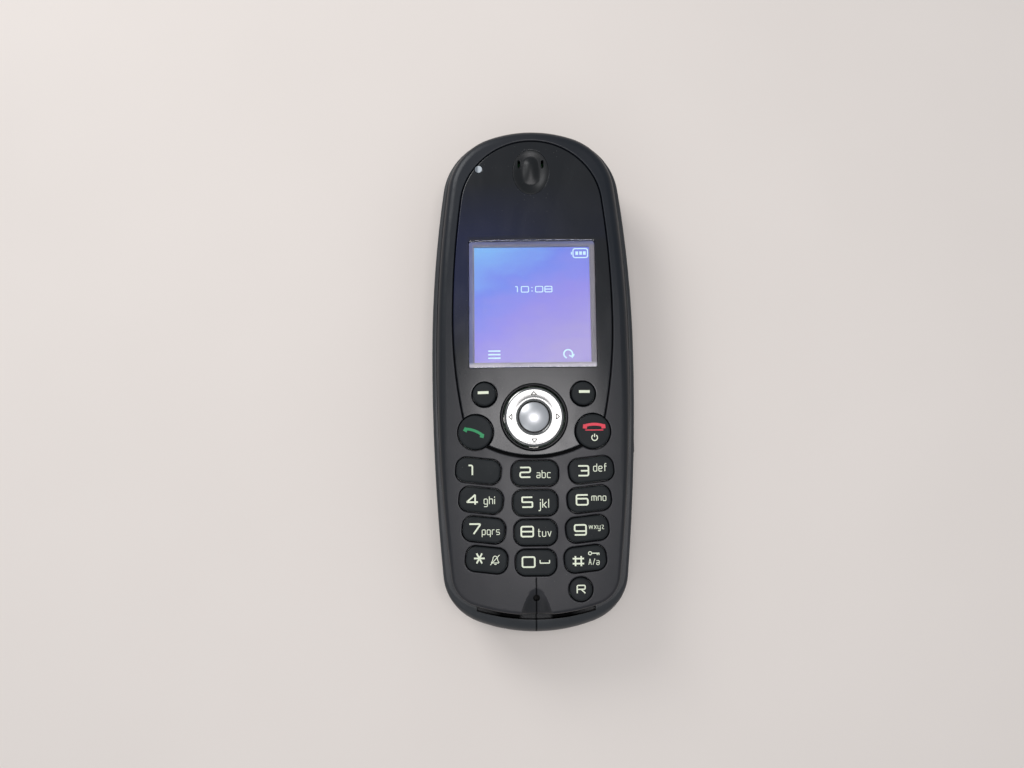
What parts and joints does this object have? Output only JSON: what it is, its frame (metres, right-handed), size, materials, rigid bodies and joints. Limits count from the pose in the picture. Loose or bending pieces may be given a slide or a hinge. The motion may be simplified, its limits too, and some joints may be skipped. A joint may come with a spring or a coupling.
{
  "type": "cordless phone",
  "caption": "Cordless telephone handset with colour display, chrome navigation ring, numeric keypad, side rocker and sliding battery cover.",
  "frame": {"origin": "middle of the flat back that the handset lies on", "axes": "+X to the right of the display, +Y towards the earpiece, +Z out of the display"},
  "size_m": [0.0566, 0.1407, 0.0251],
  "materials": {
    "rear_plastic": "fine satin grey-black moulding",
    "front_plastic": "satin dark grey moulding",
    "fascia_gloss": "glossy blue-black panel",
    "window_clear": "clear display window",
    "ear_plastic": "smooth black insert",
    "light_guide": "milky light guide",
    "bezel_gloss": "black bezel with a bright edge",
    "ring_chrome": "bright plated plastic",
    "key_plastic": "near-black satin keys with pale printed glyphs",
    "mat_rubber": "grey silicone rubber",
    "board_green": "solder-resist green laminate",
    "dome_steel": "bare sheet metal",
    "frame_grey": "light grey display frame",
    "panel_glass": "lit blue-violet display panel",
    "flex_amber": "amber film ribbon",
    "speaker_black": "black speaker frame",
    "chip_black": "black epoxy package",
    "contact_gold": "plated contact metal",
    "cell_wrap": "plain printed cell sleeve"
  },
  "bodies": {
    "handset": {"rear_shell": "rear_plastic", "front_shell": "front_plastic", "fascia": "fascia_gloss", "display_window": "window_clear", "nav_bezel": "bezel_gloss", "battery_cell_left": "cell_wrap", "battery_cell_right": "cell_wrap", "main_board": "board_green", "key_domes": "dome_steel", "keypad_mat": "mat_rubber", "key_lights": "light_guide", "display_frame": "frame_grey", "display_panel": "panel_glass", "display_flex": "flex_amber", "earpiece_speaker": "speaker_black", "microphone": "dome_steel", "microphone_seal": "mat_rubber", "ringer_speaker": "speaker_black", "shield_can": "dome_steel", "board_chips": "chip_black", "antenna": "contact_gold", "case_screws": "dome_steel", "battery_springs": "dome_steel", "battery_plates": "dome_steel", "side_switch": "chip_black", "charge_contacts": "contact_gold", "status_light": "light_guide", "earpiece_insert": "ear_plastic"},
    "key_1": {"key_1": "key_plastic"},
    "key_2": {"key_2": "key_plastic"},
    "key_3": {"key_3": "key_plastic"},
    "key_4": {"key_4": "key_plastic"},
    "key_5": {"key_5": "key_plastic"},
    "key_6": {"key_6": "key_plastic"},
    "key_7": {"key_7": "key_plastic"},
    "key_8": {"key_8": "key_plastic"},
    "key_9": {"key_9": "key_plastic"},
    "key_star": {"key_star": "key_plastic"},
    "key_0": {"key_0": "key_plastic"},
    "key_hash": {"key_hash": "key_plastic"},
    "soft_key_left": {"soft_key_left": "key_plastic"},
    "soft_key_right": {"soft_key_right": "key_plastic"},
    "call_key": {"call_key": "key_plastic"},
    "end_key": {"end_key": "key_plastic"},
    "recall_key": {"recall_key": "key_plastic"},
    "nav_centre_key": {"nav_centre_key": "ring_chrome"},
    "nav_pivot": {"nav_pivot": "mat_rubber"},
    "nav_ring": {"nav_ring": "ring_chrome"},
    "side_key": {"side_key": "key_plastic"},
    "battery_cover": {"battery_cover": "rear_plastic"}
  },
  "joints": [
    {"name": "key_1_press", "type": "slide", "parent": "handset", "child": "key_1", "axis": [0, 0, -1], "range_m": [0, 0.0004], "stiffness_N_per_m": 2500},
    {"name": "key_2_press", "type": "slide", "parent": "handset", "child": "key_2", "axis": [0, 0, -1], "range_m": [0, 0.0004], "stiffness_N_per_m": 2500},
    {"name": "key_3_press", "type": "slide", "parent": "handset", "child": "key_3", "axis": [0, 0, -1], "range_m": [0, 0.0004], "stiffness_N_per_m": 2500},
    {"name": "key_4_press", "type": "slide", "parent": "handset", "child": "key_4", "axis": [0, 0, -1], "range_m": [0, 0.0004], "stiffness_N_per_m": 2500},
    {"name": "key_5_press", "type": "slide", "parent": "handset", "child": "key_5", "axis": [0, 0, -1], "range_m": [0, 0.0004], "stiffness_N_per_m": 2500},
    {"name": "key_6_press", "type": "slide", "parent": "handset", "child": "key_6", "axis": [0, 0, -1], "range_m": [0, 0.0004], "stiffness_N_per_m": 2500},
    {"name": "key_7_press", "type": "slide", "parent": "handset", "child": "key_7", "axis": [0, 0, -1], "range_m": [0, 0.0004], "stiffness_N_per_m": 2500},
    {"name": "key_8_press", "type": "slide", "parent": "handset", "child": "key_8", "axis": [0, 0, -1], "range_m": [0, 0.0004], "stiffness_N_per_m": 2500},
    {"name": "key_9_press", "type": "slide", "parent": "handset", "child": "key_9", "axis": [0, 0, -1], "range_m": [0, 0.0004], "stiffness_N_per_m": 2500},
    {"name": "key_star_press", "type": "slide", "parent": "handset", "child": "key_star", "axis": [0, 0, -1], "range_m": [0, 0.0004], "stiffness_N_per_m": 2500},
    {"name": "key_0_press", "type": "slide", "parent": "handset", "child": "key_0", "axis": [0, 0, -1], "range_m": [0, 0.0004], "stiffness_N_per_m": 2500},
    {"name": "key_hash_press", "type": "slide", "parent": "handset", "child": "key_hash", "axis": [0, 0, -1], "range_m": [0, 0.0004], "stiffness_N_per_m": 2500},
    {"name": "soft_key_left_press", "type": "slide", "parent": "handset", "child": "soft_key_left", "axis": [0, 0, -1], "range_m": [0, 0.0004], "stiffness_N_per_m": 2500},
    {"name": "soft_key_right_press", "type": "slide", "parent": "handset", "child": "soft_key_right", "axis": [0, 0, -1], "range_m": [0, 0.0004], "stiffness_N_per_m": 2500},
    {"name": "call_key_press", "type": "slide", "parent": "handset", "child": "call_key", "axis": [0, 0, -1], "range_m": [0, 0.0004], "stiffness_N_per_m": 2500},
    {"name": "end_key_press", "type": "slide", "parent": "handset", "child": "end_key", "axis": [0, 0, -1], "range_m": [0, 0.0004], "stiffness_N_per_m": 2500},
    {"name": "recall_key_press", "type": "slide", "parent": "handset", "child": "recall_key", "axis": [0, 0, -1], "range_m": [0, 0.0004], "stiffness_N_per_m": 2500},
    {"name": "nav_centre_key_press", "type": "slide", "parent": "handset", "child": "nav_centre_key", "axis": [0, 0, -1], "range_m": [0, 0.0004], "stiffness_N_per_m": 2500},
    {"name": "nav_tilt_up_down", "type": "hinge", "parent": "handset", "child": "nav_pivot", "pos_m": [0, -0.0128, 0.0203], "axis": [1, 0, 0], "range_deg": [-2.5, 2.5], "stiffness_Nm_per_rad": 0.22},
    {"name": "nav_tilt_left_right", "type": "hinge", "parent": "nav_pivot", "child": "nav_ring", "pos_m": [0, -0.0128, 0.0203], "axis": [0, 1, 0], "range_deg": [-2.5, 2.5], "stiffness_Nm_per_rad": 0.22},
    {"name": "side_key_rock", "type": "hinge", "parent": "handset", "child": "side_key", "pos_m": [0.0252, -0.01775, 0.013], "axis": [0, 0, 1], "range_deg": [-2.5, 2.5], "stiffness_Nm_per_rad": 0.12},
    {"name": "battery_cover_slide", "type": "slide", "parent": "handset", "child": "battery_cover", "axis": [0, -1, 0], "range_m": [0, 0.088]}
  ]
}
